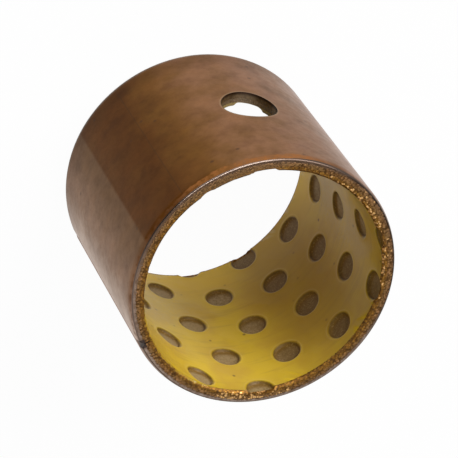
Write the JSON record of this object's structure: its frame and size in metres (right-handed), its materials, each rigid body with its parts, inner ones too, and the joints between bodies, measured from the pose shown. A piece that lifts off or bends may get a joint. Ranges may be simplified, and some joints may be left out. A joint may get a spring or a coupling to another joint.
{
  "type": "wrapped composite bushing",
  "caption": "Rolled copper-coated steel sleeve bushing with a bronze layer, a grease-pocketed plastic lining in the bore, a butt joint and an oil hole.",
  "frame": {"origin": "centre of the bore, in the plane of the end face that the bushing stands on", "axes": "+Z along the bore, away from the end it stands on; +X out through the oil hole"},
  "size_m": [0.028, 0.028, 0.025],
  "materials": {
    "steel_shell": "copper-coated rolled steel strip, satin",
    "bronze_layer": "granular sintered bronze",
    "acetal_lining": "smooth yellow acetal with grease pockets, greyish pocket floors"
  },
  "bodies": {
    "root": {"steel_shell": "steel_shell", "bronze_layer": "bronze_layer", "acetal_lining": "acetal_lining"}
  },
  "joints": []
}
